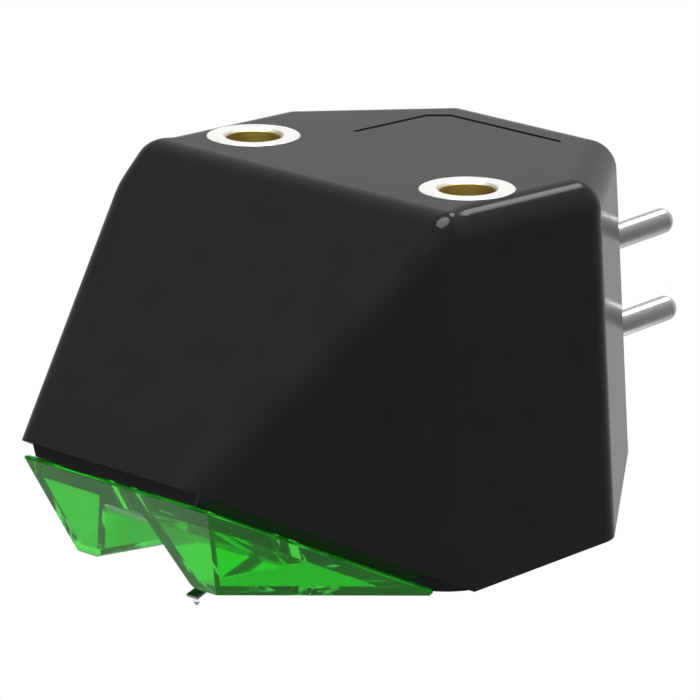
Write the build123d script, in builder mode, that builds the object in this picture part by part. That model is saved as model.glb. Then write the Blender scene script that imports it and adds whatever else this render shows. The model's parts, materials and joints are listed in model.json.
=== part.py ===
from build123d import *
from math import cos, radians, sin, sqrt, tan
import os

# Turntable stylus cartridge, moving-magnet type, millimetres.
# The origin lies midway between the two fixing holes on the mounting face.
# +Z is up, -Y points to the front of the nose, +X to the right.

# Casing outline on the mounting face
fixing_spacing = 12.7
casing_width = 18.9
nose_start_y = -4.9
nose_reach = 12.1
nose_angle = 22.0
side_end_y = 4.46
back_width = 9.1
back_y = 10.6

# Casing planes
wall_lean = 4.2
front_top_y = -3.75
lip_y = -14.2
lip_rise = 5.58
parting_slope = 26.2
bottom_depth = 15.74
bottom_slope = 3.4
rear_rise_y = 5.74
rear_rise_slope = 17.2

# Casing walls, roundings and the shallow recess in the mounting face
casing_wall = 1.4
top_wall = 1.6
edge_round = 1.3
front_edge_round = 1.0
nose_corner_round = 3.0
rear_corner_round = 1.3
recess_width = 8.0
recess_front_y = 3.5
recess_length = 5.08
recess_corner = 0.75
recess_depth = 0.045
sill_y = -5.0
sill_round = 2.5

# Threaded inserts and their bosses
insert_diameter = 3.99
insert_bore = 2.32
insert_length = 4.0
insert_lead_in = 0.12
insert_gap = 0.01
boss_wall = 0.95
boss_floor = 0.5

# Base plate and terminals
plate_thickness = 1.2
plate_gap = 0.05
skirt_height = 0.495
skirt_gap = 0.05
skirt_setback = 0.55
skirt_side_inset = 0.65
skirt_rear_y = -4.5
skirt_lean = 27.0
board_margin = 0.45
board_thickness = 0.8
board_gap = 0.05
pin_diameter = 1.09
pin_row_spacing = 3.93
pin_column_spacing = 5.2
pin_centre_depth = 7.09
pin_reach = 4.95
pin_tail = 0.9
pin_tail_diameter = 0.6
pin_stand_off = 0.1
pin_end_round = 0.5
pin_gap = 0.02

# Stylus axis, which runs from the pivot of the cantilever up and back into the casing
pivot_y = -3.6
pivot_rise = 0.99
stylus_angle = 20.0

# Stylus socket
socket_length = 6.2
socket_wall = 0.47

# Generator
core_thickness = 0.9
core_front = 2.6
core_pitch = 3.5
core_offset = 3.3
tip_gap = 0.15
bobbin_foot = 1.2
bobbin_headroom = 0.43
bobbin_diameter = 3.0
bobbin_flange = 0.3
bobbin_tube_wall = 0.25
bobbin_gap = 0.05
coil_gap = 0.02
coil_inset = 0.12
can_wall = 0.3
can_gap = 0.25
can_rest_gap = 0.05
can_headroom = 1.0

# Stylus guard
guard_setback = 0.5
guard_lean = 22.5
toe_rise = 0.58
guard_bottom_slope = 4.3
guard_rear_y = -4.5
toe_half_width = 4.2
guard_wall = 0.45
rim_round = 0.08
arch_drop = 0.85
arch_setback = 0.7
arch_top_width = 2.4
arch_toe_width = 5.6
arch_round = 0.6
toe_round = 0.4
holder_wall = 0.57
holder_front = -3.6
holder_back = 0.8
holder_gap = 0.1
passage_gap = 0.5

# Stylus sleeve and suspension
sleeve_diameter = 2.0
sleeve_wall = 0.25
sleeve_front = -0.9
sleeve_length = 7.4
sleeve_gap = 0.03
damper_length = 0.8
damper_gap = 0.05
damper_bore_gap = 0.06
anchor_length = 1.0
anchor_gap = 0.03
wire_diameter = 0.12
wire_gap = 0.05

# Cantilever, magnet and stylus tip
cantilever_diameter = 0.5
cantilever_front = 6.2
cantilever_tail = 2.7
flat_length = 1.1
flat_blend = 0.6
flat_height = 0.18
flat_width = 0.62
magnet_wall = 0.2
magnet_start = 1.2
magnet_length = 1.4
magnet_gap = 0.01
tip_station = 5.95
tip_shank_diameter = 0.24
tip_cone_height = 0.2
tip_drop = 0.385
tip_point_diameter = 0.03

os.makedirs("parts", exist_ok=True)

# Values and planes that several pieces share
lean = tan(radians(wall_lean))
half_width = casing_width / 2
half_back = back_width / 2
nose_taper = tan(radians(nose_angle))
nose_reach_y = nose_start_y - nose_reach
nose_end_half = half_width - nose_reach * nose_taper
wall_down = Vector(0, lean, -1)
parting_fall = tan(radians(parting_slope))


def falling_plane(y, z, angle):
    """Plane through (0, y, z) that falls towards the back, with its normal pointing down."""
    turn = radians(angle)
    return Plane(origin=(0, y, z), x_dir=(1, 0, 0), z_dir=(0, -sin(turn), -cos(turn)))


def nose_half_width(y, z):
    """Distance from the centre plane to the nose wall at (y, z)."""
    return half_width + (y + lean * z - nose_start_y) * nose_taper


lip_z = lip_rise - bottom_depth
front_plane = Plane(origin=(0, front_top_y, 0), x_dir=(1, 0, 0), z_dir=(0, lip_z, front_top_y - lip_y))
parting_plane = falling_plane(lip_y, lip_z, parting_slope)
bottom_plane = falling_plane(0, -bottom_depth, -bottom_slope)
rear_rise_z = rear_rise_y * tan(radians(bottom_slope)) - bottom_depth
rear_rise_plane = falling_plane(rear_rise_y, rear_rise_z, -rear_rise_slope)

back_normal = Vector(0, cos(radians(wall_lean)), sin(radians(wall_lean)))
back_plane = Plane(
    origin=(0, back_y + lean * pin_centre_depth, -pin_centre_depth), x_dir=(1, 0, 0), z_dir=back_normal
)

pivot = Vector(0, pivot_y, pivot_rise - bottom_depth)
stylus_back = Vector(0, cos(radians(stylus_angle)), sin(radians(stylus_angle)))
stylus_up = Vector(0, -sin(radians(stylus_angle)), cos(radians(stylus_angle)))
stylus_plane = Plane(origin=pivot, x_dir=(1, 0, 0), z_dir=stylus_back)
generator_plane = Plane(origin=pivot, x_dir=stylus_back, z_dir=(1, 0, 0))

insert_radius = insert_diameter / 2
sleeve_radius = sleeve_diameter / 2
sleeve_inner = sleeve_radius - sleeve_wall
sleeve_back = sleeve_front + sleeve_length
socket_inner = sleeve_radius + sleeve_gap
socket_radius = socket_inner + socket_wall
socket_start = holder_back + sleeve_wall
holder_radius = sleeve_radius + sleeve_gap + holder_wall
plate_hole_radius = holder_radius + holder_gap
cantilever_radius = cantilever_diameter / 2
passage_radius = cantilever_radius + passage_gap
reach = casing_width + bottom_depth


def casing_form(inset, top, lift, rounded):
    """The casing's form, moved in at the walls, down at the top and up at the underside."""
    with BuildPart() as form:
        with BuildSketch() as outline:
            with BuildLine():
                Polyline(
                    (nose_end_half, nose_reach_y),
                    (half_width, nose_start_y),
                    (half_width, side_end_y),
                    (half_back, back_y),
                    (-half_back, back_y),
                    (-half_width, side_end_y),
                    (-half_width, nose_start_y),
                    (-nose_end_half, nose_reach_y),
                    close=True,
                )
            make_face()
            if rounded:
                fillet(outline.vertices().group_by(Axis.Y)[1], nose_corner_round)
                fillet(outline.vertices().group_by(Axis.Y)[-2], rear_corner_round)
                fillet(outline.vertices().group_by(Axis.Y)[-1], rear_corner_round)
            else:
                offset(amount=-inset, kind=Kind.INTERSECTION)
        extrude(amount=reach, dir=wall_down)
        split(bisect_by=Plane.XY.offset(-top), keep=Keep.BOTTOM)
        split(bisect_by=front_plane.offset(-inset), keep=Keep.BOTTOM)
        split(bisect_by=parting_plane.offset(-lift), keep=Keep.BOTTOM)
        split(bisect_by=bottom_plane.offset(-lift), keep=Keep.BOTTOM)
        split(bisect_by=rear_rise_plane.offset(-lift), keep=Keep.BOTTOM)
    return form.part


# Sill: wedge across the underside of the casing, behind the stylus guard, with rounded front corners
with BuildPart() as sill:
    with BuildSketch() as sill_outline:
        with Locations((0, sill_y / 2)):
            Rectangle(casing_width, -sill_y)
        fillet(sill_outline.vertices().group_by(Axis.Y)[0], sill_round)
    extrude(amount=reach, dir=wall_down)
    split(bisect_by=parting_plane, keep=Keep.TOP)
    split(bisect_by=bottom_plane, keep=Keep.BOTTOM)

# Hollow of the casing, open below, with the bosses of the inserts left standing in it
with BuildPart() as hollow:
    add(casing_form(casing_wall, top_wall, -casing_wall, False))
    with BuildSketch():
        with GridLocations(fixing_spacing, 0, 2, 1):
            Circle(insert_radius + boss_wall)
    extrude(amount=-insert_length - boss_floor, mode=Mode.SUBTRACT)

# Casing: black moulded shell with a sloped front, a tapered nose and chamfered rear corners
with BuildPart() as casing:
    add(casing_form(0, 0, 0, True))
    front_face = casing.faces().filter_by(front_plane)[0]
    fillet(front_face.edges().sort_by(Axis.Z)[1:-1], front_edge_round)
    fillet(casing.faces().sort_by(Axis.Z)[-1].edges(), edge_round)
    add(hollow.part, mode=Mode.SUBTRACT)
    add(sill.part)
    with BuildSketch(stylus_plane):
        Circle(plate_hole_radius)
    extrude(amount=cantilever_front, both=True, mode=Mode.SUBTRACT)
    with BuildSketch():
        with GridLocations(fixing_spacing, 0, 2, 1):
            Circle(insert_radius + insert_gap)
    extrude(amount=-insert_length, mode=Mode.SUBTRACT)
    with BuildSketch() as recess:
        with Locations((0, recess_front_y + recess_length / 2)):
            Rectangle(recess_width, recess_length)
        chamfer(recess.vertices().group_by(Axis.Y)[-1], recess_corner)
    extrude(amount=-recess_depth, mode=Mode.SUBTRACT)
    with BuildSketch(back_plane):
        with GridLocations(pin_column_spacing, pin_row_spacing, 2, 2):
            Circle(pin_tail_diameter / 2 + pin_gap)
    extrude(amount=-2 * casing_wall, mode=Mode.SUBTRACT)
casing.part.label = "casing"
export_step(casing.part, "parts/casing.step")

# Threaded inserts: turned bushes flush with the mounting face
for side, name in ((-1, "thread_insert_left"), (1, "thread_insert_right")):
    with BuildPart() as insert:
        with BuildSketch():
            with Locations((side * fixing_spacing / 2, 0)):
                Circle(insert_radius)
                Circle(insert_bore / 2, mode=Mode.SUBTRACT)
        extrude(amount=-insert_length)
        mouth = insert.edges().filter_by(GeomType.CIRCLE).group_by(Axis.Z)[-1].sort_by(SortBy.RADIUS)[0]
        chamfer(mouth, insert_lead_in)
    insert.part.label = name
    export_step(insert.part, f"parts/{name}.step")

# Base plate: closes the casing from below, with a skirt that leans in towards the stylus guard
# and the hole that the stylus unit is pushed into
skirt_corners = []
for y in (lip_y + skirt_setback, skirt_rear_y):
    z = lip_z - (y - lip_y) * parting_fall
    skirt_corner = Vector(nose_half_width(y, z) - skirt_side_inset, y, z)
    skirt_corners.append(parting_plane.to_local_coords(skirt_corner))
with BuildPart() as base_plate:
    add(casing_form(casing_wall + plate_gap, top_wall, 0, False))
    add(casing_form(casing_wall, top_wall, plate_thickness, False), mode=Mode.SUBTRACT)
    with BuildSketch(parting_plane):
        with BuildLine():
            Polyline(
                (skirt_corners[0].X, skirt_corners[0].Y),
                (skirt_corners[1].X, skirt_corners[1].Y),
                (-skirt_corners[1].X, skirt_corners[1].Y),
                (-skirt_corners[0].X, skirt_corners[0].Y),
                close=True,
            )
        make_face()
    extrude(amount=skirt_height - skirt_gap, taper=skirt_lean)
    with BuildSketch(stylus_plane):
        Circle(plate_hole_radius)
    extrude(amount=reach, both=True, mode=Mode.SUBTRACT)
base_plate.part.label = "base_plate"
export_step(base_plate.part, "parts/base_plate.step")

# Terminal board: insulating plate against the inside of the back wall
board_plane = back_plane.offset(-casing_wall - board_gap)
with BuildPart() as terminal_board:
    with BuildSketch(board_plane):
        Rectangle(
            pin_column_spacing + pin_diameter + 2 * board_margin,
            pin_row_spacing + pin_diameter + 2 * board_margin,
        )
        with GridLocations(pin_column_spacing, pin_row_spacing, 2, 2):
            Circle(pin_tail_diameter / 2 + pin_gap, mode=Mode.SUBTRACT)
    extrude(amount=-board_thickness)
terminal_board.part.label = "terminal_board"
export_step(terminal_board.part, "parts/terminal_board.step")

# Terminal pins: four plated pins with rounded ends and thinner tails, square to the back wall
pin_start = casing_wall + board_gap + board_thickness + pin_tail
for row, row_name in ((-1, "upper"), (1, "lower")):
    for side, side_name in ((-1, "left"), (1, "right")):
        with BuildPart() as pin:
            with BuildSketch(back_plane.offset(-pin_start)):
                with Locations((side * pin_column_spacing / 2, row * pin_row_spacing / 2)):
                    Circle(pin_tail_diameter / 2)
            extrude(amount=pin_start + pin_stand_off)
            with BuildSketch(back_plane.offset(pin_stand_off)):
                with Locations((side * pin_column_spacing / 2, row * pin_row_spacing / 2)):
                    Circle(pin_diameter / 2)
            extrude(amount=pin_reach - pin_stand_off)
            fillet(pin.edges().sort_by(Axis.Y)[-1], pin_end_round)
        pin.part.label = f"terminal_pin_{row_name}_{side_name}"
        export_step(pin.part, f"parts/{pin.part.label}.step")

# Stylus socket: tube above the hole of the base plate, which guides the sleeve
with BuildPart() as stylus_socket:
    with BuildSketch(stylus_plane.offset(socket_start)):
        Circle(socket_radius)
        Circle(socket_inner, mode=Mode.SUBTRACT)
    extrude(amount=socket_length)
stylus_socket.part.label = "stylus_socket"
export_step(stylus_socket.part, "parts/stylus_socket.step")

# Cores: one iron yoke for each channel, with two legs and a pole tip below each leg
core_inner_face = core_offset - core_thickness / 2
can_reach = core_front + core_pitch + bobbin_diameter / 2 + can_gap + can_wall
can_room = -pivot.Z - insert_length - boss_floor - can_headroom
core_height = (can_room - can_reach * stylus_back.Z) / stylus_back.Y - can_rest_gap - can_wall
for side, name in ((-1, "core_left"), (1, "core_right")):
    with BuildPart() as core:
        with BuildSketch(generator_plane.offset(side * core_offset)):
            with Locations((core_front + core_pitch / 2, core_height / 2 - core_thickness / 4)):
                Rectangle(core_pitch + core_thickness, core_height + core_thickness / 2)
            with Locations((core_front + core_pitch / 2, core_height / 2 - 3 * core_thickness / 4)):
                Rectangle(core_pitch - core_thickness, core_height - core_thickness / 2, mode=Mode.SUBTRACT)
        extrude(amount=core_thickness / 2, both=True)
        with BuildSketch(generator_plane.offset(side * core_inner_face)):
            with Locations((core_front, 0), (core_front + core_pitch, 0)):
                Rectangle(core_thickness, core_thickness)
        extrude(amount=-side * (core_inner_face - socket_radius - tip_gap))
    core.part.label = name
    export_step(core.part, f"parts/{name}.step")

# Bobbins and coils: a flanged former with its winding on each of the four legs
leg_hole = core_thickness + 2 * bobbin_gap
tube_radius = leg_hole / sqrt(2) + bobbin_tube_wall
bobbin_radius = bobbin_diameter / 2
bobbin_height = core_height - core_thickness - bobbin_foot - bobbin_headroom
for row, row_name in ((0, "front"), (1, "rear")):
    for side, side_name in ((-1, "left"), (1, "right")):
        foot = pivot + stylus_back * (core_front + row * core_pitch) + stylus_up * bobbin_foot
        foot_plane = Plane(origin=foot + Vector(side * core_offset, 0, 0), x_dir=(1, 0, 0), z_dir=stylus_up)
        with BuildPart() as bobbin:
            with BuildSketch(foot_plane):
                Circle(tube_radius)
            extrude(amount=bobbin_height)
            with BuildSketch(foot_plane, foot_plane.offset(bobbin_height - bobbin_flange)):
                Circle(bobbin_radius)
            extrude(amount=bobbin_flange)
            with BuildSketch(foot_plane):
                Rectangle(leg_hole, leg_hole)
            extrude(amount=bobbin_height, mode=Mode.SUBTRACT)
        bobbin.part.label = f"bobbin_{row_name}_{side_name}"
        export_step(bobbin.part, f"parts/{bobbin.part.label}.step")
        with BuildPart() as coil:
            with BuildSketch(foot_plane.offset(bobbin_flange + coil_gap)):
                Circle(bobbin_radius - coil_inset)
                Circle(tube_radius + coil_gap, mode=Mode.SUBTRACT)
            extrude(amount=bobbin_height - 2 * (bobbin_flange + coil_gap))
        coil.part.label = f"coil_{row_name}_{side_name}"
        export_step(coil.part, f"parts/{coil.part.label}.step")

# Screen can: folded sheet over the coils, closed on top and resting on the cores
can_inner_width = 2 * (core_offset + bobbin_radius + can_gap)
can_inner_length = core_pitch + bobbin_diameter + 2 * can_gap
can_foot_height = holder_radius + can_gap
can_foot = pivot + stylus_back * (core_front + core_pitch / 2) + stylus_up * can_foot_height
can_plane = Plane(origin=can_foot, x_dir=(1, 0, 0), z_dir=stylus_up)
can_inner_height = core_height + can_rest_gap - can_foot_height
with BuildPart() as screen_can:
    with BuildSketch(can_plane):
        Rectangle(can_inner_width + 2 * can_wall, can_inner_length + 2 * can_wall)
    extrude(amount=can_inner_height + can_wall)
    with BuildSketch(can_plane):
        Rectangle(can_inner_width, can_inner_length)
    extrude(amount=can_inner_height, mode=Mode.SUBTRACT)
screen_can.part.label = "screen_can"
export_step(screen_can.part, "parts/screen_can.step")

# Planes of the stylus guard: its rim follows the casing's nose, its front and sides lean in towards the toes
rim_plane = parting_plane.offset(skirt_height)
rim_drop = skirt_height / cos(radians(parting_slope))
guard_front_y = lip_y + guard_setback
rim_front_z = lip_z - (guard_front_y - lip_y) * parting_fall - rim_drop
rim_rear_z = lip_z - (guard_rear_y - lip_y) * parting_fall - rim_drop
toe_z = toe_rise - bottom_depth
toe_y = guard_front_y + (rim_front_z - toe_z) * tan(radians(guard_lean))
rim_front = Vector(nose_half_width(guard_front_y, rim_front_z), guard_front_y, rim_front_z)
rim_rear = Vector(nose_half_width(guard_rear_y, rim_rear_z), guard_rear_y, rim_rear_z)
toe = Vector(toe_half_width, toe_y, toe_z)
side_normal = (toe - rim_front).cross(rim_rear - rim_front)
guard_front_plane = Plane(
    origin=(0, guard_front_y, rim_front_z), x_dir=(1, 0, 0),
    z_dir=(0, -cos(radians(guard_lean)), -sin(radians(guard_lean))),
)
guard_bottom_plane = falling_plane(toe_y, toe_z, guard_bottom_slope)
guard_rear_plane = Plane(
    origin=(0, guard_rear_y, rim_rear_z), x_dir=(1, 0, 0),
    z_dir=(0, cos(radians(parting_slope)), -sin(radians(parting_slope))),
)

# Arch: way through the guard for the cantilever, with rounded corners under a roof parallel to the rim
arch_top_z = rim_front_z - arch_drop / cos(radians(parting_slope)) - arch_setback * parting_fall
arch_flare = (arch_toe_width - arch_top_width) / 2 / (arch_top_z - toe_z)
arch_front_z = toe_z + (toe_y - lip_y) * tan(radians(guard_bottom_slope))
arch_plane = Plane(origin=(0, lip_y, arch_front_z), x_dir=(1, 0, 0), z_dir=guard_bottom_plane.y_dir)


def arch_form(wall, roof_drop):
    """The way of the arch, made wider by a wall, with its roof that far below the rim."""
    half_toe = arch_toe_width / 2 + wall * sqrt(1 + arch_flare**2)
    roof = rim_plane.offset(roof_drop)
    with BuildPart() as form:
        with BuildSketch(arch_plane) as outline:
            with BuildLine():
                Polyline(
                    (-casing_width, -cantilever_front),
                    (casing_width, -cantilever_front),
                    (casing_width, 0),
                    (half_toe, 0),
                    (0, half_toe / arch_flare),
                    (-half_toe, 0),
                    (-casing_width, 0),
                    close=True,
                )
            make_face()
            fillet(outline.vertices().group_by(Axis.Y)[1].sort_by(Axis.X)[1:3], toe_round)
        extrude(amount=-reach)
        split(bisect_by=roof, keep=Keep.TOP)
        roof_edges = form.faces().filter_by(roof)[0].edges().filter_by(GeomType.LINE)
        fillet(roof_edges.sort_by(lambda edge: abs(edge.center().X))[1:3], arch_round)
    return form.part


def guard_form(inset, rounded):
    """The guard's form below its rim, moved in at the front, the sides and the rear."""
    with BuildPart() as form:
        with BuildSketch():
            with BuildLine():
                Polyline(
                    (nose_end_half, nose_reach_y),
                    (half_width, nose_start_y),
                    (-half_width, nose_start_y),
                    (-nose_end_half, nose_reach_y),
                    close=True,
                )
            make_face()
        extrude(amount=reach, dir=wall_down)
        split(bisect_by=rim_plane, keep=Keep.TOP)
        split(bisect_by=guard_front_plane.offset(-inset), keep=Keep.BOTTOM)
        for side in (-1, 1):
            facet_origin = Vector(side * rim_front.X, rim_front.Y, rim_front.Z)
            facet_normal = Vector(side * side_normal.X, side_normal.Y, side_normal.Z)
            facet_plane = Plane(origin=facet_origin, z_dir=facet_normal)
            split(bisect_by=facet_plane.offset(-inset), keep=Keep.BOTTOM)
        if rounded:
            fillet(form.faces().filter_by(rim_plane)[0].edges().sort_by(Axis.Y)[:-1], rim_round)
        split(bisect_by=guard_rear_plane.offset(-inset), keep=Keep.BOTTOM)
    return form.part


# Pockets: hollows of the two wings, open at the rim
with BuildPart() as pockets:
    add(guard_form(guard_wall, False))
    split(bisect_by=guard_bottom_plane.offset(-guard_wall), keep=Keep.BOTTOM)
    add(arch_form(guard_wall, -guard_wall), mode=Mode.SUBTRACT)
    with BuildSketch(stylus_plane.offset(holder_front)):
        Circle(holder_radius)
    extrude(amount=holder_back - holder_front, mode=Mode.SUBTRACT)

# Stylus guard: one clear moulding with two hollow wings, an arch for the cantilever and the sleeve's holder
with BuildPart() as stylus_guard:
    add(guard_form(0, True))
    with BuildSketch(stylus_plane.offset(holder_front)):
        Circle(holder_radius)
    extrude(amount=holder_back - holder_front)
    split(bisect_by=guard_bottom_plane, keep=Keep.BOTTOM)
    add(arch_form(0, arch_drop), mode=Mode.SUBTRACT)
    add(pockets.part, mode=Mode.SUBTRACT)
    with BuildSketch(stylus_plane.offset(sleeve_front)):
        Circle(sleeve_radius + sleeve_gap)
    extrude(amount=sleeve_length, mode=Mode.SUBTRACT)
    with BuildSketch(stylus_plane.offset(sleeve_front)):
        Circle(passage_radius)
    extrude(amount=-cantilever_front, mode=Mode.SUBTRACT)
stylus_guard.part.label = "stylus_guard"
export_step(stylus_guard.part, "parts/stylus_guard.step")

# Stylus sleeve: metal tube of the stylus unit
with BuildPart() as stylus_sleeve:
    with BuildSketch(stylus_plane.offset(sleeve_front)):
        Circle(sleeve_radius)
        Circle(sleeve_inner, mode=Mode.SUBTRACT)
    extrude(amount=sleeve_length)
stylus_sleeve.part.label = "stylus_sleeve"
export_step(stylus_sleeve.part, "parts/stylus_sleeve.step")

# Wire anchor: plug in the rear end of the sleeve
with BuildPart() as wire_anchor:
    with BuildSketch(stylus_plane.offset(sleeve_back - anchor_length)):
        Circle(sleeve_inner - anchor_gap)
    extrude(amount=anchor_length)
wire_anchor.part.label = "wire_anchor"
export_step(wire_anchor.part, "parts/wire_anchor.step")

# Tie wire: runs from the anchor to the tail of the cantilever
wire_start = cantilever_tail + wire_gap
with BuildPart() as tie_wire:
    with BuildSketch(stylus_plane.offset(wire_start)):
        Circle(wire_diameter / 2)
    extrude(amount=sleeve_back - anchor_length - wire_start)
tie_wire.part.label = "tie_wire"
export_step(tie_wire.part, "parts/tie_wire.step")

# Damper ring: rubber ring in the mouth of the sleeve that the cantilever pivots in
with BuildPart() as damper_ring:
    with BuildSketch(stylus_plane):
        Circle(sleeve_inner - damper_gap)
        Circle(cantilever_radius + damper_bore_gap, mode=Mode.SUBTRACT)
    extrude(amount=damper_length / 2, both=True)
damper_ring.part.label = "damper_ring"
export_step(damper_ring.part, "parts/damper_ring.step")

# Cantilever: thin metal tube, flattened at the front to carry the tip
flat_end = flat_length - cantilever_front
with BuildPart() as cantilever:
    with BuildSketch(stylus_plane.offset(-cantilever_front)):
        Rectangle(flat_width, flat_height)
    extrude(amount=flat_length)
    with BuildSketch(stylus_plane.offset(flat_end)):
        Rectangle(flat_width, flat_height)
    with BuildSketch(stylus_plane.offset(flat_end + flat_blend)):
        Circle(cantilever_radius)
    loft()
    with BuildSketch(stylus_plane.offset(flat_end + flat_blend)):
        Circle(cantilever_radius)
    extrude(amount=cantilever_front - flat_length - flat_blend + cantilever_tail)
cantilever.part.label = "cantilever"
export_step(cantilever.part, "parts/cantilever.step")

# Magnet: sleeve magnet on the tail of the cantilever, between the pole tips
with BuildPart() as magnet:
    with BuildSketch(stylus_plane.offset(magnet_start)):
        Circle(cantilever_radius + magnet_gap + magnet_wall)
        Circle(cantilever_radius + magnet_gap, mode=Mode.SUBTRACT)
    extrude(amount=magnet_length)
magnet.part.label = "magnet"
export_step(magnet.part, "parts/magnet.step")

# Stylus tip: diamond shank under the flat, ground to a cone
flat_underside = Plane(
    origin=pivot - stylus_back * tip_station - stylus_up * (flat_height / 2),
    x_dir=(1, 0, 0),
    z_dir=stylus_up,
)
point_plane = Plane(origin=pivot - stylus_back * tip_station - Vector(0, 0, tip_drop))
with BuildPart() as stylus_tip:
    with BuildSketch(point_plane.offset(tip_cone_height)):
        Circle(tip_shank_diameter / 2)
    extrude(amount=tip_drop - tip_cone_height)
    split(bisect_by=flat_underside, keep=Keep.BOTTOM)
    with BuildSketch(point_plane.offset(tip_cone_height)):
        Circle(tip_shank_diameter / 2)
    with BuildSketch(point_plane):
        Circle(tip_point_diameter / 2)
    loft()
stylus_tip.part.label = "stylus_tip"
export_step(stylus_tip.part, "parts/stylus_tip.step")
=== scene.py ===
import json
from math import cos, radians, sin

import bpy
from mathutils import Matrix, Vector

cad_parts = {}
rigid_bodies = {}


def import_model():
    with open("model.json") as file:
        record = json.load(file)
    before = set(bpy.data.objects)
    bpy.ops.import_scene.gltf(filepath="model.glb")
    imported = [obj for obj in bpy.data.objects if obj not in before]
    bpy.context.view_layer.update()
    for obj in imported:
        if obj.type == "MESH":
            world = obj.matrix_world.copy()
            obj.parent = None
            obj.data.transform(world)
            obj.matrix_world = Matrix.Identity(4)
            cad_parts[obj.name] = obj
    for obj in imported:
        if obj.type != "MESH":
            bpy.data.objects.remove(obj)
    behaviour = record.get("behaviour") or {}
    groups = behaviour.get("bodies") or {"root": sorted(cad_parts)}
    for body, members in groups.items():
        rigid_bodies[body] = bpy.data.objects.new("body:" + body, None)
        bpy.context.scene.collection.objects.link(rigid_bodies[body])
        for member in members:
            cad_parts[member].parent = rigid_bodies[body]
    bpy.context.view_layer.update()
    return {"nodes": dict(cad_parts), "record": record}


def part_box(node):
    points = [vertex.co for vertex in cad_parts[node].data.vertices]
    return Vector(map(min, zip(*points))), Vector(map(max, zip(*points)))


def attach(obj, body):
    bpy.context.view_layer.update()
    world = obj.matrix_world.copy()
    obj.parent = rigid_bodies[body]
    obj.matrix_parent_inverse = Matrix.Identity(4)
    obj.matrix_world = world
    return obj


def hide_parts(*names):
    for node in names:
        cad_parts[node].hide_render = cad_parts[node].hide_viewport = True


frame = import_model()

nodes = frame["nodes"]

# Casing and base plate
# Two black mouldings with a polished skin. The plate closes the casing from below, and its skirt leans in
# below the lip of the nose. The faint unevenness of the skin is the flow of the melt in the mould.


def finish_nodes(name):
    """A new finish, with its node tree and its main shader."""
    finish = bpy.data.materials.new(name)
    finish.use_nodes = True
    return finish, finish.node_tree, finish.node_tree.nodes["Principled BSDF"]


def grain(tree, scale, detail, stretch=(1, 1, 1)):
    """Noise on the piece's own coordinates, in grains per metre."""
    place = tree.nodes.new("ShaderNodeTexCoord")
    stretched = tree.nodes.new("ShaderNodeMapping")
    stretched.inputs["Scale"].default_value = stretch
    noise = tree.nodes.new("ShaderNodeTexNoise")
    noise.inputs["Scale"].default_value = scale
    noise.inputs["Detail"].default_value = detail
    tree.links.new(place.outputs["Object"], stretched.inputs["Vector"])
    tree.links.new(stretched.outputs["Vector"], noise.inputs["Vector"])
    return noise.outputs["Fac"]


def shades(tree, value, dark, light, low=0.3, high=0.7):
    """Colour that runs from dark to light as a value goes from low to high."""
    ramp = tree.nodes.new("ShaderNodeValToRGB")
    ramp.color_ramp.elements[0].position = low
    ramp.color_ramp.elements[0].color = (*dark, 1)
    ramp.color_ramp.elements[1].position = high
    ramp.color_ramp.elements[1].color = (*light, 1)
    tree.links.new(value, ramp.inputs["Fac"])
    return ramp.outputs["Color"]


def between(tree, value, low, high):
    """A value of 0 to 1 set between two limits."""
    span = tree.nodes.new("ShaderNodeMapRange")
    span.inputs["To Min"].default_value = low
    span.inputs["To Max"].default_value = high
    tree.links.new(value, span.inputs["Value"])
    return span.outputs["Result"]


def mottle(tree, shader, pattern, dark, light, roughness):
    """Colour and roughness that follow one pattern."""
    tree.links.new(shades(tree, pattern, dark, light), shader.inputs["Base Color"])
    tree.links.new(between(tree, pattern, *roughness), shader.inputs["Roughness"])


def coat(finish, *names):
    """Gives a finish to CAD pieces."""
    for name in names:
        nodes[name].data.materials.clear()
        nodes[name].data.materials.append(finish)


black_plastic, tree, shader = finish_nodes("black_plastic")
shader.inputs["IOR"].default_value = 1.25
flow = grain(tree, scale=420, detail=3)
mottle(tree, shader, flow, (0.024, 0.024, 0.0245), (0.028, 0.028, 0.0285), roughness=(0.07, 0.13))
coat(black_plastic, "casing", "base_plate")

# Threaded inserts
# Turned brass bushes moulded into the casing, flush with the mounting face. The faces are bright plated.
# A chamfer leads into a plain mouth, and the thread is cut below it.


def deselect_all():
    """Leaves nothing selected, so that the next operator acts on the new piece alone."""
    bpy.ops.object.select_all(action="DESELECT")


def turned(name, profile, sides):
    """A piece turned about the Z axis: a ring carried along its radii and heights, in millimetres."""
    deselect_all()
    radius, height = profile[0]
    bpy.ops.mesh.primitive_circle_add(vertices=sides, radius=radius, location=(0, 0, height))
    piece = bpy.context.object
    piece.name = name
    bpy.ops.object.transform_apply(location=True)
    bpy.ops.object.mode_set(mode="EDIT")
    bpy.ops.mesh.select_all(action="SELECT")
    for next_radius, next_height in profile[1:]:
        bpy.ops.mesh.extrude_region_move(TRANSFORM_OT_translate={"value": (0, 0, next_height - height)})
        growth = next_radius / radius
        bpy.ops.transform.resize(value=(growth, growth, 1), center_override=(0, 0, next_height))
        radius, height = next_radius, next_height
    return piece


def close_up(smooth_angle, merge_distance=0.0005):
    """Merges the rings, closes the ends, turns the faces out and smooths the round stretches."""
    bpy.ops.mesh.select_all(action="SELECT")
    bpy.ops.mesh.remove_doubles(threshold=merge_distance)
    bpy.ops.mesh.select_all(action="DESELECT")
    bpy.ops.mesh.select_non_manifold()
    bpy.ops.mesh.edge_face_add()
    bpy.ops.mesh.select_all(action="SELECT")
    bpy.ops.mesh.normals_make_consistent(inside=False)
    bpy.ops.object.mode_set(mode="OBJECT")
    bpy.ops.object.shade_smooth_by_angle(angle=smooth_angle)


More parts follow.
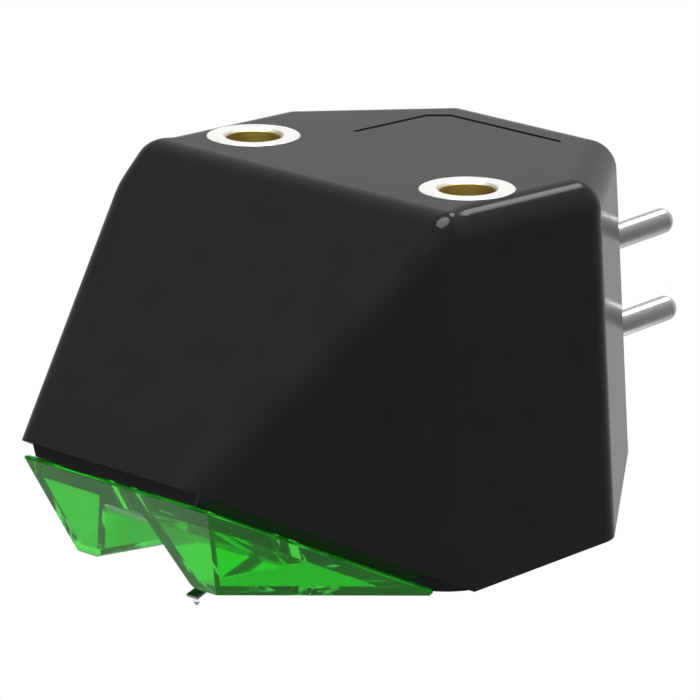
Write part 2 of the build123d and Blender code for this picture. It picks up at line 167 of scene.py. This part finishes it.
def set_in_place(piece, name, place):
    """A copy of a piece made in millimetres, set into the frame with its place in its mesh."""
    to_metres = Matrix.Scale(0.001, 4)
    deselect_all()
    piece.select_set(True)
    bpy.context.view_layer.objects.active = piece
    bpy.ops.object.duplicate()
    placed = bpy.context.object
    placed.name = name
    placed.matrix_world = to_metres @ place
    bpy.ops.object.transform_apply(location=True, rotation=True, scale=True)
    return placed


insert_low, insert_high = [corner * 1000 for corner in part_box("thread_insert_right")]
insert_radius = (insert_high.x - insert_low.x) / 2
insert_length = insert_high.z - insert_low.z
insert_x = (insert_high.x + insert_low.x) / 2
insert_sides = 96
bore_radius = 1.16
lead_in = 0.12
outer_break = 0.04
mouth_depth = 0.75
thread_pitch = 0.45
thread_depth = 0.12
thread_flank = 0.4 * thread_pitch
thread_root = 0.1 * thread_pitch
thread_turns = int((insert_length - mouth_depth) / thread_pitch)

insert_profile = [
    (bore_radius, -insert_length),
    (insert_radius, -insert_length),
    (insert_radius, -outer_break),
    (insert_radius - outer_break, 0),
    (bore_radius + lead_in, 0),
    (bore_radius, -lead_in),
]
for thread_turn in range(thread_turns):
    crest = -mouth_depth - thread_turn * thread_pitch
    insert_profile.append((bore_radius, crest))
    insert_profile.append((bore_radius + thread_depth, crest - thread_flank))
    insert_profile.append((bore_radius + thread_depth, crest - thread_flank - thread_root))
    insert_profile.append((bore_radius, crest - 2 * thread_flank - thread_root))
insert_profile.append((bore_radius, -insert_length))

bare_below = -0.00013
plated_above = -0.00003
plated_brass, tree, shader = finish_nodes("plated_brass")
shader.inputs["Metallic"].default_value = 1
turning = grain(tree, scale=900, detail=2, stretch=(1, 1, 14))
where = tree.nodes.new("ShaderNodeTexCoord")
depth = tree.nodes.new("ShaderNodeSeparateXYZ")
plating = tree.nodes.new("ShaderNodeMapRange")
plating.inputs["From Min"].default_value = bare_below
plating.inputs["From Max"].default_value = plated_above
bright = tree.nodes.new("ShaderNodeMix")
bright.data_type = "RGBA"
tree.links.new(where.outputs["Object"], depth.inputs["Vector"])
tree.links.new(depth.outputs["Z"], plating.inputs["Value"])
tree.links.new(plating.outputs["Result"], bright.inputs["Factor"])
tree.links.new(shades(tree, turning, (0.7, 0.58, 0.22), (0.8, 0.68, 0.3)), bright.inputs["A"])
tree.links.new(shades(tree, turning, (0.95, 0.94, 0.9), (0.98, 0.97, 0.94)), bright.inputs["B"])
tree.links.new(bright.outputs["Result"], shader.inputs["Base Color"])
tree.links.new(between(tree, turning, 0.45, 0.52), shader.inputs["Roughness"])

insert = turned("insert", insert_profile, insert_sides)
close_up(smooth_angle=radians(28))
insert.data.materials.append(plated_brass)
for side, node in ((-1, "thread_insert_left"), (1, "thread_insert_right")):
    placed = set_in_place(insert, node + "_turned", Matrix.Translation((side * insert_x, 0, 0)))
    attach(placed, "cartridge")
    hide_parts(node)
bpy.data.objects.remove(insert)

# Terminal pins and their board
# Four drawn pins, bright plated, with rounded ends and thin tails through the back wall.
# The tails are soldered into a pressed board on the inside of the wall.
pin_reach = 4.95
pin_stand_off = 0.1
pin_end_round = 0.5
pin_foot_break = 0.05
pin_sides = 64
tail_radius = 0.3
tail_start = -3.15
tail_point = 0.05
round_steps = 10

pin_mounts = [mount for mount in frame["record"]["mounts"] if mount["kind"] == "pin"]
pin_radius = pin_mounts[0]["dims"]["r_mm"]
pin_profile = [
    (tail_radius - tail_point, tail_start),
    (tail_radius, tail_start + tail_point),
    (tail_radius, pin_stand_off),
    (pin_radius - pin_foot_break, pin_stand_off),
    (pin_radius, pin_stand_off + pin_foot_break),
]
for step in range(round_steps + 1):
    sweep = radians(90 * step / round_steps)
    pull_in = pin_end_round * (1 - cos(sweep))
    pull_back = pin_end_round * (1 - sin(sweep))
    pin_profile.append((pin_radius - pull_in, pin_reach - pull_back))

pin_plating, tree, shader = finish_nodes("pin_plating")
shader.inputs["Metallic"].default_value = 1
drawing = grain(tree, scale=1500, detail=3, stretch=(1, 0.05, 1))
mottle(tree, shader, drawing, (0.88, 0.88, 0.88), (0.95, 0.95, 0.94), roughness=(0.22, 0.3))

pin = turned("pin", pin_profile, pin_sides)
close_up(smooth_angle=radians(35))
pin.data.materials.append(pin_plating)
for mount in pin_mounts:
    node = mount["name"].replace("terminal_", "terminal_pin_")
    outward = Vector(mount["axis"])
    sideways = Vector((1, 0, 0))
    foot = Vector(mount["pos_m"]) * 1000 - outward * (pin_stand_off + mount["dims"]["length_mm"] / 2)
    turn_out = Matrix((sideways, outward.cross(sideways), outward)).transposed().to_4x4()
    placed = set_in_place(pin, node + "_drawn", Matrix.Translation(foot) @ turn_out)
    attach(placed, "cartridge")
    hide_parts(node)
bpy.data.objects.remove(pin)

pressed_board, tree, shader = finish_nodes("pressed_board")
fibre = grain(tree, scale=2200, detail=6, stretch=(1, 1, 4))
mottle(tree, shader, fibre, (0.10, 0.045, 0.02), (0.22, 0.11, 0.05), roughness=(0.5, 0.7))
coat(pressed_board, "terminal_board")

# Generator
# Two stamped iron yokes carry four wound bobbins, under a folded steel screen.
# A moulded socket between the pole tips takes the sleeve of the stylus unit.


def nodes_named(start):
    """The CAD pieces whose names start so."""
    return [name for name in nodes if name.startswith(start)]


def relief(tree, shader, pattern, height):
    """Fine relief of that height in metres."""
    bump = tree.nodes.new("ShaderNodeBump")
    bump.inputs["Distance"].default_value = height
    tree.links.new(pattern, bump.inputs["Height"])
    tree.links.new(bump.outputs["Normal"], shader.inputs["Normal"])


annealed_iron, tree, shader = finish_nodes("annealed_iron")
shader.inputs["Metallic"].default_value = 1
scale_marks = grain(tree, scale=1800, detail=5)
mottle(tree, shader, scale_marks, (0.26, 0.26, 0.28), (0.42, 0.42, 0.44), roughness=(0.35, 0.55))
coat(annealed_iron, *nodes_named("core_"))

rolled_steel, tree, shader = finish_nodes("rolled_steel")
shader.inputs["Metallic"].default_value = 1
rolling = grain(tree, scale=1600, detail=3, stretch=(0.08, 1, 1))
mottle(tree, shader, rolling, (0.46, 0.46, 0.48), (0.6, 0.6, 0.62), roughness=(0.25, 0.4))
coat(rolled_steel, "screen_can")

bobbin_plastic, tree, shader = finish_nodes("bobbin_plastic")
flow = grain(tree, scale=900, detail=3)
mottle(tree, shader, flow, (0.62, 0.6, 0.52), (0.72, 0.7, 0.62), roughness=(0.35, 0.5))
coat(bobbin_plastic, *nodes_named("bobbin_"))

copper_winding, tree, shader = finish_nodes("copper_winding")
shader.inputs["Metallic"].default_value = 1
where = tree.nodes.new("ShaderNodeTexCoord")
strand = tree.nodes.new("ShaderNodeTexWave")
strand.bands_direction = "Z"
strand.inputs["Scale"].default_value = 4200
strand.inputs["Distortion"].default_value = 1.5
tree.links.new(where.outputs["Object"], strand.inputs["Vector"])
wound = strand.outputs["Fac"]
# The colour follows the turns as the relief does: lighter on each turn and darker in the grooves between
# them, which is painted shade.
copper_with_groove_shade = shades(tree, wound, (0.5, 0.2, 0.08), (0.8, 0.4, 0.2), low=0.1, high=0.9)
tree.links.new(copper_with_groove_shade, shader.inputs["Base Color"])
tree.links.new(between(tree, wound, 0.3, 0.45), shader.inputs["Roughness"])
relief(tree, shader, wound, height=0.00003)
coat(copper_winding, *nodes_named("coil_"))

socket_plastic, tree, shader = finish_nodes("socket_plastic")
flow = grain(tree, scale=1200, detail=3)
mottle(tree, shader, flow, (0.012, 0.012, 0.012), (0.022, 0.022, 0.022), roughness=(0.35, 0.5))
coat(socket_plastic, "stylus_socket")

# Stylus guard
# One clear green moulding with polished facets and a faint haze: a flat rim with a low land below the skirt,
# two wings with an arch between them, and a round holder for the sleeve. The wings are hollow,
# and a thin wall closes each hollow at the rim.


def merged_copy(node, name):
    """A copy of a CAD piece with its loose triangles merged, left open in edit mode."""
    merge_distance = 1e-7
    deselect_all()
    nodes[node].select_set(True)
    bpy.context.view_layer.objects.active = nodes[node]
    bpy.ops.object.duplicate()
    piece = bpy.context.object
    piece.name = name
    bpy.ops.object.parent_clear(type="CLEAR_KEEP_TRANSFORM")
    bpy.ops.object.mode_set(mode="EDIT")
    bpy.ops.mesh.select_all(action="SELECT")
    bpy.ops.mesh.remove_doubles(threshold=merge_distance)
    return piece


def looks_along(face, way):
    """Whether a flat face looks that way."""
    return face.normal.dot(way) > 0.9999


rim_slope = radians(26.2)
rim_up = Vector((0, sin(rim_slope), cos(rim_slope)))
closing_wall = 0.00045
land_inset = 0.00006
land_height = 0.000045
seam_gap = 1e-7

# The rim is parted from the rest, which leaves the outer shell and the walls of the two hollows as sheets.
guard = merged_copy("stylus_guard", "stylus_guard_closed")
bpy.ops.mesh.select_mode(type="FACE")
bpy.ops.mesh.select_all(action="DESELECT")
bpy.ops.object.mode_set(mode="OBJECT")
rim_faces = [face for face in guard.data.polygons if looks_along(face, rim_up)]
rim_point = rim_faces[0].center.copy()
for face in rim_faces:
    face.select = True
bpy.ops.object.mode_set(mode="EDIT")
bpy.ops.mesh.split()
bpy.ops.mesh.separate(type="LOOSE")
bpy.ops.object.mode_set(mode="OBJECT")
shells, hollows = [], []
for sheet in bpy.context.selected_objects:
    spread = [corner.co.x for corner in sheet.data.vertices]
    (shells if min(spread) < 0 < max(spread) else hollows).append(sheet)

# Each hollow is cut off below the rim and closed.
for hollow in hollows:
    deselect_all()
    hollow.select_set(True)
    bpy.context.view_layer.objects.active = hollow
    bpy.ops.object.mode_set(mode="EDIT")
    bpy.ops.mesh.select_all(action="SELECT")
    bpy.ops.mesh.bisect(
        plane_co=rim_point - rim_up * closing_wall, plane_no=rim_up, use_fill=True, clear_outer=True,
    )
    bpy.ops.mesh.select_all(action="SELECT")
    bpy.ops.mesh.normals_make_consistent(inside=True)
    bpy.ops.object.mode_set(mode="OBJECT")

# The shell gets its rim back, whole, with the land on it, and then the hollows.
deselect_all()
for shell in shells:
    shell.select_set(True)
bpy.context.view_layer.objects.active = guard
bpy.ops.object.join()
bpy.ops.object.mode_set(mode="EDIT")
bpy.ops.mesh.select_all(action="SELECT")
bpy.ops.mesh.remove_doubles(threshold=seam_gap)
bpy.ops.mesh.fill_holes(sides=0)
bpy.ops.mesh.select_all(action="SELECT")
bpy.ops.mesh.normals_make_consistent(inside=False)
bpy.ops.mesh.select_all(action="DESELECT")
bpy.ops.object.mode_set(mode="OBJECT")
for face in guard.data.polygons:
    face.select = looks_along(face, rim_up)
bpy.ops.object.mode_set(mode="EDIT")
bpy.ops.mesh.inset(thickness=land_inset, depth=land_height)
bpy.ops.object.mode_set(mode="OBJECT")
for hollow in hollows:
    hollow.select_set(True)
bpy.ops.object.join()
bpy.ops.mesh.customdata_custom_splitnormals_clear()
bpy.ops.object.shade_smooth_by_angle(angle=radians(20))
guard.data.materials.clear()

green_clear, tree, shader = finish_nodes("green_clear")
shader.inputs["Base Color"].default_value = (0.07, 0.84, 0.07, 1)
shader.inputs["Transmission Weight"].default_value = 0.9
shader.inputs["IOR"].default_value = 1.4
shader.inputs["Specular Tint"].default_value = (0.35, 0.5, 0.35, 1)
polish = grain(tree, scale=700, detail=2)
tree.links.new(between(tree, polish, 0.0, 0.03), shader.inputs["Roughness"])
guard.data.materials.append(green_clear)
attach(guard, "stylus_unit")
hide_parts("stylus_guard")

# Sleeve, anchor, tie wire and damper
# A drawn metal sleeve holds a turned plug at its rear end, and a fine wire ties the cantilever to that plug.
# A rubber ring in the mouth of the sleeve carries the cantilever.
drawn_metal, tree, shader = finish_nodes("drawn_metal")
shader.inputs["Metallic"].default_value = 1
drawing = grain(tree, scale=2400, detail=3, stretch=(1, 0.1, 0.3))
mottle(tree, shader, drawing, (0.58, 0.58, 0.6), (0.76, 0.76, 0.78), roughness=(0.2, 0.35))
coat(drawn_metal, "stylus_sleeve", "tie_wire")

anchor_brass, tree, shader = finish_nodes("anchor_brass")
shader.inputs["Metallic"].default_value = 1
turning = grain(tree, scale=2400, detail=3)
mottle(tree, shader, turning, (0.6, 0.44, 0.2), (0.74, 0.56, 0.28), roughness=(0.25, 0.4))
coat(anchor_brass, "wire_anchor")

damper_rubber, tree, shader = finish_nodes("damper_rubber")
pores = grain(tree, scale=5200, detail=5)
mottle(tree, shader, pores, (0.012, 0.012, 0.012), (0.03, 0.03, 0.03), roughness=(0.6, 0.8))
relief(tree, shader, pores, height=0.00001)
coat(damper_rubber, "damper_ring")

# Cantilever, magnet and stylus tip
# A thin drawn tube, pressed flat and slightly upwards at its front end, with a small magnet on its tail.
# The diamond is a ground shank with a cone, set through the flat.
tube_slope = radians(20)
pivot = Vector((0, -0.0036, -0.01475))
tube_back = Vector((0, cos(tube_slope), sin(tube_slope)))
tube_up = Vector((0, -sin(tube_slope), cos(tube_slope)))
flat_start = -0.00505
top_raise = 0.000095
underside_raise = 0.00016

tube = merged_copy("cantilever", "cantilever_pressed")
bpy.ops.mesh.select_mode(type="VERT")
for side, rise in ((1, top_raise), (-1, underside_raise)):
    bpy.ops.mesh.select_all(action="DESELECT")
    bpy.ops.object.mode_set(mode="OBJECT")
    for corner in tube.data.vertices:
        place = corner.co - pivot
        corner.select = place.dot(tube_back) < flat_start and place.dot(tube_up) * side > 0
    bpy.ops.object.mode_set(mode="EDIT")
    bpy.ops.transform.translate(value=tube_up * rise)
bpy.ops.object.mode_set(mode="OBJECT")
bpy.ops.mesh.customdata_custom_splitnormals_clear()
bpy.ops.object.shade_smooth_by_angle(angle=radians(35))
tube.data.materials.clear()

cantilever_tube, tree, shader = finish_nodes("cantilever_tube")
shader.inputs["Metallic"].default_value = 1
drawing = grain(tree, scale=3600, detail=3, stretch=(1, 0.1, 0.3))
mottle(tree, shader, drawing, (0.2, 0.21, 0.21), (0.34, 0.35, 0.35), roughness=(0.25, 0.4))
tube.data.materials.append(cantilever_tube)
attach(tube, "cantilever_unit")
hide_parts("cantilever")

magnet_alloy, tree, shader = finish_nodes("magnet_alloy")
shader.inputs["Metallic"].default_value = 1
grinding = grain(tree, scale=3000, detail=4)
mottle(tree, shader, grinding, (0.2, 0.2, 0.22), (0.34, 0.34, 0.36), roughness=(0.3, 0.5))
coat(magnet_alloy, "magnet")

diamond, tree, shader = finish_nodes("diamond")
shader.inputs["Base Color"].default_value = (0.9, 0.9, 0.86, 1)
shader.inputs["Transmission Weight"].default_value = 1
shader.inputs["IOR"].default_value = 1.8
facets = grain(tree, scale=9000, detail=2)
tree.links.new(between(tree, facets, 0.0, 0.08), shader.inputs["Roughness"])

tip_low, tip_high = [corner * 1000 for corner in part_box("stylus_tip")]
shank_radius = (tip_high.x - tip_low.x) / 2
shank_height = 0.56
tip_cone = 0.13
tip_point = 0.02
tip_bevel = 0.03
tip_sides = 32
tip_profile = [
    (tip_point, 0),
    (shank_radius, tip_cone),
    (shank_radius, shank_height - tip_bevel),
    (shank_radius - tip_bevel, shank_height),
]
ground_tip = turned("ground_tip", tip_profile, tip_sides)
close_up(smooth_angle=radians(28))
ground_tip.data.materials.append(diamond)
tip_foot = Vector((0, (tip_low.y + tip_high.y) / 2, tip_low.z))
placed = set_in_place(ground_tip, "stylus_tip_ground", Matrix.Translation(tip_foot))
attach(placed, "cantilever_unit")
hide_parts("stylus_tip")
bpy.data.objects.remove(ground_tip)

# Floor
# A sheet of white card well below the hanging cartridge. It takes the shadow on its upper side,
# and from below it can be seen through.


def white_where_seen(tree):
    """Two switches that are 0 for the light on dull surfaces. The first is 1 for the eye and through clear
    plastic, and the second is 1 in gloss and metal too."""
    ray = tree.nodes.new("ShaderNodeLightPath")
    clear = tree.nodes.new("ShaderNodeMath")
    clear.operation = "MAXIMUM"
    shown = tree.nodes.new("ShaderNodeMath")
    shown.operation = "MAXIMUM"
    tree.links.new(ray.outputs["Is Camera Ray"], clear.inputs[0])
    tree.links.new(ray.outputs["Is Transmission Ray"], clear.inputs[1])
    tree.links.new(clear.outputs["Value"], shown.inputs[0])
    tree.links.new(ray.outputs["Is Glossy Ray"], shown.inputs[1])
    return clear.outputs["Value"], shown.outputs["Value"]


floor_size = 0.14
floor_drop = 0.06
floor_glow = 0.35
deselect_all()
bpy.ops.mesh.primitive_plane_add(size=floor_size, location=(0, 0, -floor_drop))
floor = bpy.context.object
floor.name = "floor"
white_card, tree, shader = finish_nodes("white_card")
speckle = grain(tree, scale=60, detail=2)
tree.links.new(shades(tree, speckle, (0.8, 0.8, 0.8), (0.82, 0.82, 0.82)), shader.inputs["Base Color"])
shader.inputs["Roughness"].default_value = 0.9
shader.inputs["Emission Color"].default_value = (1, 1, 1, 1)
shown = white_where_seen(tree)[1]
tree.links.new(between(tree, shown, 0.0, floor_glow), shader.inputs["Emission Strength"])
card_side = tree.nodes.new("ShaderNodeNewGeometry")
see_through = tree.nodes.new("ShaderNodeBsdfTransparent")
by_side = tree.nodes.new("ShaderNodeMixShader")
tree.links.new(card_side.outputs["Backfacing"], by_side.inputs["Fac"])
tree.links.new(shader.outputs["BSDF"], by_side.inputs[1])
tree.links.new(see_through.outputs["BSDF"], by_side.inputs[2])
tree.links.new(by_side.outputs["Shader"], tree.nodes["Material Output"].inputs["Surface"])
floor.data.materials.append(white_card)

# Room and lamps
# A white room. What shows in gloss and metal is a soft glow behind on the left, dim on the right,
# with a softbox above and behind and another straight above.


def glow(tree, way, edge, full, level):
    """Brightness that grows from the edge of a patch of the room to its middle, measured as cosines."""
    where = tree.nodes.new("ShaderNodeTexCoord")
    facing = tree.nodes.new("ShaderNodeVectorMath")
    facing.operation = "DOT_PRODUCT"
    facing.inputs[1].default_value = Vector(way).normalized()
    growth = tree.nodes.new("ShaderNodeMapRange")
    growth.interpolation_type = "SMOOTHSTEP"
    growth.inputs["From Min"].default_value = edge
    growth.inputs["From Max"].default_value = full
    growth.inputs["To Max"].default_value = level
    tree.links.new(where.outputs["Generated"], facing.inputs[0])
    tree.links.new(facing.outputs["Value"], growth.inputs["Value"])
    return growth.outputs["Result"]


def added(tree, patch):
    """A sum of a patch of glow and what its first socket gets."""
    total = tree.nodes.new("ShaderNodeMath")
    tree.links.new(patch, total.inputs[1])
    return total


def softbox(name, way, width, power, distance=0.3):
    """A square lamp that looks at the object from that way. It is hidden in gloss, where the room has a
    patch of glow in its place.
    """
    deselect_all()
    way = Vector(way).normalized()
    bpy.ops.object.light_add(type="AREA", location=way * distance)
    lamp = bpy.context.object
    lamp.name = name
    lamp.rotation_euler = way.to_track_quat("Z", "Y").to_euler()
    lamp.data.shape = "RECTANGLE"
    lamp.data.size = width
    lamp.data.size_y = width
    lamp.data.energy = power
    lamp.visible_glossy = False


room_light = 0.45
dim_gloss = 0.08

room = bpy.data.worlds.new("room")
bpy.context.scene.world = room
room.use_nodes = True
tree = room.node_tree
behind_left = added(tree, glow(tree, (-0.5, 0.85, 0.22), edge=0, full=1, level=0.43))
above_behind = added(tree, glow(tree, (-0.2, 0.667, 0.715), edge=0.978, full=1, level=5.6))
above = added(tree, glow(tree, (0, 0, 1), edge=0.9, full=0.95, level=9))
behind_left.inputs[0].default_value = dim_gloss
tree.links.new(behind_left.outputs["Value"], above_behind.inputs[0])
tree.links.new(above_behind.outputs["Value"], above.inputs[0])

clear, shown = white_where_seen(tree)
glossy_level = tree.nodes.new("ShaderNodeMix")
glossy_level.inputs["A"].default_value = room_light
tree.links.new(shown, glossy_level.inputs["Factor"])
tree.links.new(above.outputs["Value"], glossy_level.inputs["B"])
level = tree.nodes.new("ShaderNodeMix")
level.inputs["B"].default_value = 1
tree.links.new(clear, level.inputs["Factor"])
tree.links.new(glossy_level.outputs["Result"], level.inputs["A"])
white = tree.nodes["Background"]
white.inputs["Color"].default_value = (1, 1, 1, 1)
tree.links.new(level.outputs["Result"], white.inputs["Strength"])

softbox("back_softbox", (-0.18, 0.667, 0.72), width=0.085, power=0.11)
softbox("top_softbox", (0, 0, 1), width=0.13, power=0.42)

# Camera
# At the angle and distance of the photograph, with a long lens.
camera_turn, camera_lift = radians(46.2023), radians(15.5295)
stand_right, stand_up, stand_back = -0.0003533, -0.0077859, 0.261938
focal_pixels = 6355.1
image_pixels = 700
sensor_width = 36

right = Vector((cos(camera_turn), sin(camera_turn), 0))
back = Vector((sin(camera_turn) * cos(camera_lift), -cos(camera_turn) * cos(camera_lift), sin(camera_lift)))
up = back.cross(right)
stand = stand_right * right + stand_up * up + stand_back * back
camera_data = bpy.data.cameras.new("camera")
camera_data.sensor_width = sensor_width
camera_data.lens = focal_pixels * sensor_width / image_pixels
camera_data.clip_start = 0.01
camera = bpy.data.objects.new("camera", camera_data)
camera.matrix_world = Matrix.Translation(stand) @ Matrix((right, up, back)).transposed().to_4x4()
bpy.context.scene.collection.objects.link(camera)
bpy.context.scene.camera = camera

bpy.context.scene.view_settings.view_transform = "Standard"
